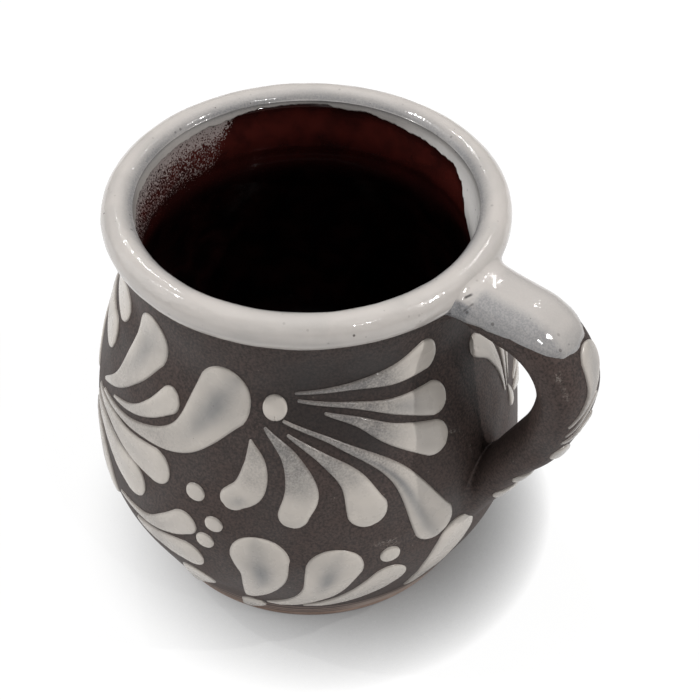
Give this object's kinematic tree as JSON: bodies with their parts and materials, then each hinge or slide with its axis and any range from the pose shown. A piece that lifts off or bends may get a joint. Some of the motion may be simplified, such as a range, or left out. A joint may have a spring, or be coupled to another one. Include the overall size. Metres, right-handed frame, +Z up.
{
  "type": "clay mug",
  "caption": "Hand-thrown round-bellied clay mug with a rolled white-glazed rim, a strap handle and raised white slip petals on dark slip, for hot drinks.",
  "frame": {"origin": "centre of the flat underside of the foot, on the surface that the mug stands on", "axes": "+Z up along the mug's axis, +X from the axis towards the handle"},
  "size_m": [0.1094, 0.0902, 0.0862],
  "materials": {
    "bare_clay": "bare fired clay",
    "dark_slip": "matte dark slip",
    "brown_glaze": "glossy glaze",
    "white_glaze": "glossy glaze",
    "white_slip": "satin raised slip"
  },
  "bodies": {
    "root": {"clay_body": "bare_clay", "outer_coat": "dark_slip", "inner_glaze": "brown_glaze", "rim_glaze": "white_glaze", "handle": "dark_slip", "handle_glaze": "white_glaze", "upper_joint": "white_glaze", "lower_joint": "dark_slip", "front_spray": "white_slip", "left_fan": "white_slip", "left_spray": "white_slip", "handle_fan": "white_slip", "back_spray": "white_slip", "back_fan": "white_slip", "foot_petals": "white_slip", "back_foot_petals": "white_slip", "dots": "white_slip", "handle_strokes": "white_slip"}
  },
  "joints": []
}
